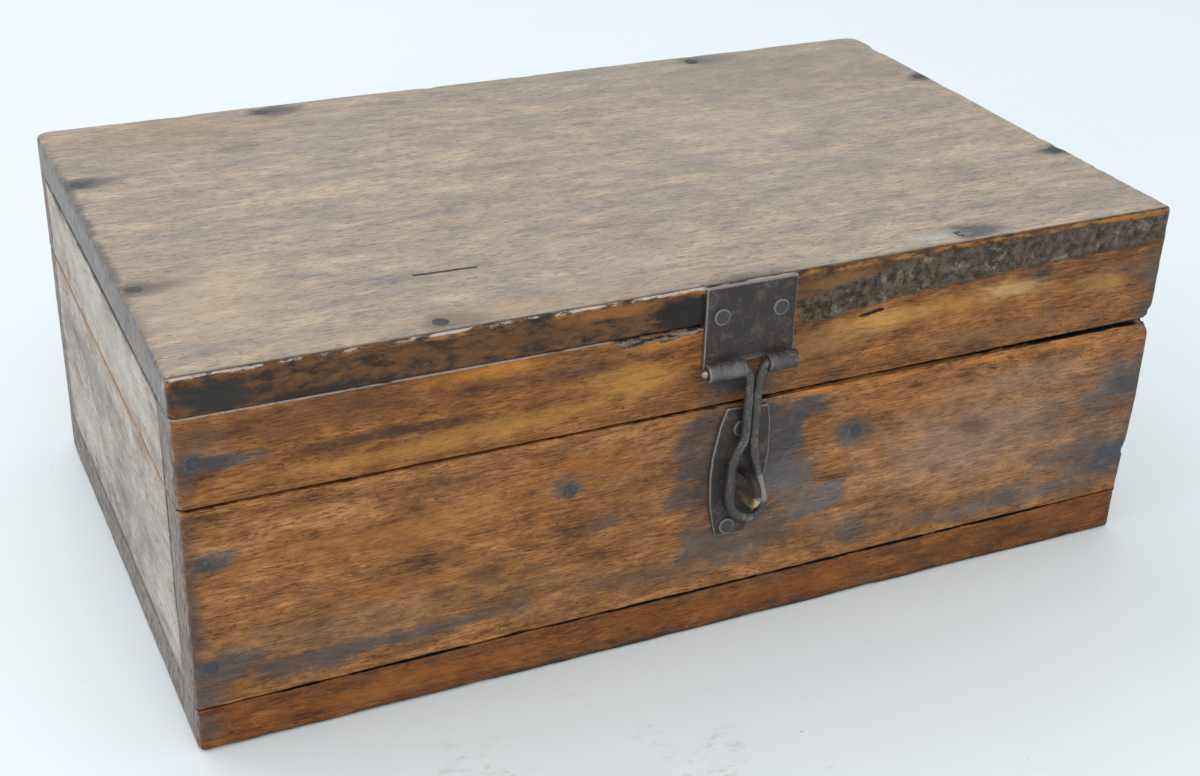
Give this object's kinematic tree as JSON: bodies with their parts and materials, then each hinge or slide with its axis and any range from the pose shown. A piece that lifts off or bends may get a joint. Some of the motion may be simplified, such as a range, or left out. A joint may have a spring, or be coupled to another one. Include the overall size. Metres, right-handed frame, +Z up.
{
  "type": "wooden spice box with hinged lid",
  "caption": "Low nailed wooden spice box with compartments, a hinged lid, a bent wire hasp and a padlock staple.",
  "frame": {"origin": "middle of the underside of the wooden box, on the surface that it stands on", "axes": "+X to the right along the box's length as seen from the hasp side, +Y to the back where the hinges are, +Z up"},
  "size_m": [0.3, 0.1974, 0.111],
  "materials": {
    "weathered_top_wood": "worn grey-brown board with a dull sheen",
    "orange_brown_wood": "worn orange-brown boards with blue-black iron stains",
    "raw_inner_wood": "plain inner boards, brown with use",
    "dark_sheet_iron": "dark brown-grey sheet iron with worn bright edges",
    "dark_iron_wire": "dark grey wire, rubbed bright where it moves",
    "iron_nails": "blackened flat nail heads"
  },
  "bodies": {
    "base": {"base_bottom": "orange_brown_wood", "base_front": "orange_brown_wood", "base_back": "orange_brown_wood", "base_left": "orange_brown_wood", "base_right": "orange_brown_wood", "divider_left": "raw_inner_wood", "divider_right": "raw_inner_wood", "base_front_nails": "iron_nails", "base_back_nails": "iron_nails", "base_bottom_nails": "iron_nails", "divider_nails": "iron_nails", "keeper_plate": "dark_sheet_iron", "keeper_nails": "iron_nails", "staple": "dark_iron_wire", "hinge_base_leaf_left": "dark_sheet_iron", "hinge_base_leaf_right": "dark_sheet_iron", "hinge_pin_left": "dark_iron_wire", "hinge_pin_right": "dark_iron_wire", "hinge_base_nails": "iron_nails"},
    "lid": {"lid_top": "weathered_top_wood", "lid_front": "orange_brown_wood", "lid_back": "orange_brown_wood", "lid_left": "orange_brown_wood", "lid_right": "orange_brown_wood", "lid_top_nails": "iron_nails", "lid_front_nails": "iron_nails", "lid_back_nails": "iron_nails", "hasp_plate": "dark_sheet_iron", "hasp_plate_nails": "iron_nails", "hinge_lid_leaf_left": "dark_sheet_iron", "hinge_lid_leaf_right": "dark_sheet_iron", "hinge_lid_nails": "iron_nails"},
    "hasp": {"hasp": "dark_iron_wire"}
  },
  "joints": [
    {"name": "lid_hinge", "type": "hinge", "parent": "base", "child": "lid", "pos_m": [0, 0.093, 0.0742], "axis": [-1, 0, 0], "range_deg": [0, 180]},
    {"name": "hasp_hinge", "type": "hinge", "parent": "lid", "child": "hasp", "pos_m": [0.008, -0.093, 0.0867], "axis": [-1, 0, 0], "range_deg": [0, 160]}
  ]
}
